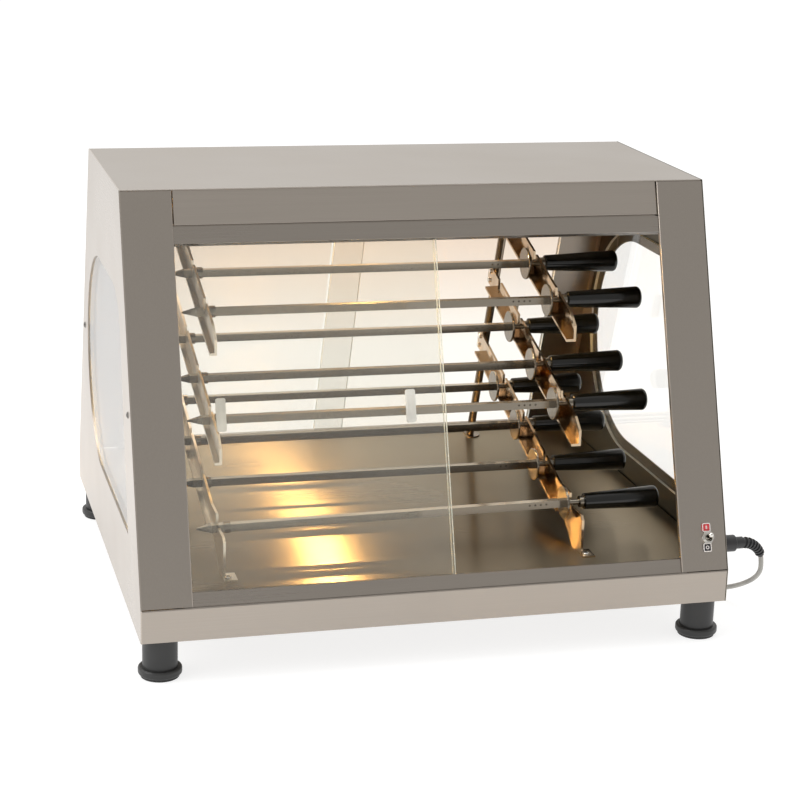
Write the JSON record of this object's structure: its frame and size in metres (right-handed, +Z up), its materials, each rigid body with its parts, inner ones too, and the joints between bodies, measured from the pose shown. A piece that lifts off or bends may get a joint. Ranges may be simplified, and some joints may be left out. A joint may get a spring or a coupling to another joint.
{
  "type": "heated skewer display cabinet",
  "caption": "Countertop heated display cabinet with leaning sliding glass doors front and rear, side windows, and skewers with black handles resting in notched racks.",
  "frame": {"origin": "middle of the footprint, on the surface that the feet stand on", "axes": "+X to the right seen from the front, +Y to the back, +Z up"},
  "size_m": [0.8178, 0.6, 0.529],
  "materials": {
    "body_steel": "brushed stainless, satin",
    "rack_steel": "polished stainless",
    "skewer_steel": "ground stainless",
    "track_metal": "satin anodised",
    "pane_glass": "clear, greenish edges",
    "lamp_glass": "clear quartz, lit",
    "reflector": "bright",
    "ceramic": "unglazed ceramic",
    "handle_black": "moulded, glossy",
    "foot_black": "moulded, matt",
    "pad_rubber": "matt",
    "pull_white": "translucent",
    "bright_metal": "nickel plated",
    "label_red": "moulded",
    "label_black": "moulded",
    "gland_black": "moulded nylon",
    "cord_grey": "soft sheath"
  },
  "bodies": {
    "cabinet": {"base_shell": "body_steel", "bottom_cover": "body_steel", "floor_plate": "body_steel", "side_panel_left": "body_steel", "side_panel_right": "body_steel", "glass_clips": "body_steel", "roof_panel": "body_steel", "headers": "body_steel", "stiles_front": "body_steel", "stiles_rear": "body_steel", "side_glass_left": "pane_glass", "side_glass_right": "pane_glass", "tracks_lower": "track_metal", "tracks_upper": "track_metal", "rack_posts": "rack_steel", "rack_arms_left": "rack_steel", "rack_arms_right": "rack_steel", "side_screws": "bright_metal", "rack_screws": "bright_metal", "switch_body": "bright_metal", "feet": "foot_black", "foot_pads": "pad_rubber", "lamp_reflector": "reflector", "lamp_holders": "ceramic", "lamp_tube": "lamp_glass", "label_red": "label_red", "label_black": "label_black", "cable_gland": "gland_black", "strain_relief": "gland_black", "power_cord": "cord_grey", "cord_coil": "cord_grey", "cord_tail": "cord_grey", "plug": "gland_black"},
    "door_front_left": {"pane_front_left": "pane_glass", "pull_front_left": "pull_white"},
    "door_front_right": {"pane_front_right": "pane_glass", "pull_front_right": "pull_white"},
    "door_rear_left": {"pane_rear_left": "pane_glass", "pull_rear_left": "pull_white"},
    "door_rear_right": {"pane_rear_right": "pane_glass", "pull_rear_right": "pull_white"},
    "toggle": {"toggle_lever": "bright_metal"},
    "spit_1": {"skewer_1": "skewer_steel", "handle_1": "handle_black"},
    "spit_2": {"skewer_2": "skewer_steel", "handle_2": "handle_black"},
    "spit_3": {"skewer_3": "skewer_steel", "handle_3": "handle_black"},
    "spit_4": {"skewer_4": "skewer_steel", "handle_4": "handle_black"},
    "spit_5": {"skewer_5": "skewer_steel", "handle_5": "handle_black"},
    "spit_6": {"skewer_6": "skewer_steel", "handle_6": "handle_black"},
    "spit_7": {"skewer_7": "skewer_steel", "handle_7": "handle_black"},
    "spit_8": {"skewer_8": "skewer_steel", "handle_8": "handle_black"},
    "spit_9": {"skewer_9": "skewer_steel", "handle_9": "handle_black"}
  },
  "joints": [
    {"name": "front_left_slide", "type": "slide", "parent": "cabinet", "child": "door_front_left", "axis": [1, 0, 0], "range_m": [0, 0.283]},
    {"name": "front_right_slide", "type": "slide", "parent": "cabinet", "child": "door_front_right", "axis": [1, 0, 0], "range_m": [0, 0.283]},
    {"name": "rear_left_slide", "type": "slide", "parent": "cabinet", "child": "door_rear_left", "axis": [1, 0, 0], "range_m": [0, 0.283]},
    {"name": "rear_right_slide", "type": "slide", "parent": "cabinet", "child": "door_rear_right", "axis": [1, 0, 0], "range_m": [-0.271, 0.012]},
    {"name": "switch_toggle", "type": "hinge", "parent": "cabinet", "child": "toggle", "pos_m": [0.326, -0.28666, 0.12607], "axis": [1, 0, 0], "range_deg": [0, 28]},
    {"name": "spit_1_lift", "type": "slide", "parent": "cabinet", "child": "spit_1", "axis": [0, 0, 1], "range_m": [0, 0.03]},
    {"name": "spit_2_lift", "type": "slide", "parent": "cabinet", "child": "spit_2", "axis": [0, 0, 1], "range_m": [0, 0.03]},
    {"name": "spit_3_lift", "type": "slide", "parent": "cabinet", "child": "spit_3", "axis": [0, 0, 1], "range_m": [0, 0.03]},
    {"name": "spit_4_lift", "type": "slide", "parent": "cabinet", "child": "spit_4", "axis": [0, 0, 1], "range_m": [0, 0.03]},
    {"name": "spit_5_lift", "type": "slide", "parent": "cabinet", "child": "spit_5", "axis": [0, 0, 1], "range_m": [0, 0.03]},
    {"name": "spit_6_lift", "type": "slide", "parent": "cabinet", "child": "spit_6", "axis": [0, 0, 1], "range_m": [0, 0.03]},
    {"name": "spit_7_lift", "type": "slide", "parent": "cabinet", "child": "spit_7", "axis": [0, 0, 1], "range_m": [0, 0.03]},
    {"name": "spit_8_lift", "type": "slide", "parent": "cabinet", "child": "spit_8", "axis": [0, 0, 1], "range_m": [0, 0.03]},
    {"name": "spit_9_lift", "type": "slide", "parent": "cabinet", "child": "spit_9", "axis": [0, 0, 1], "range_m": [0, 0.03]}
  ]
}
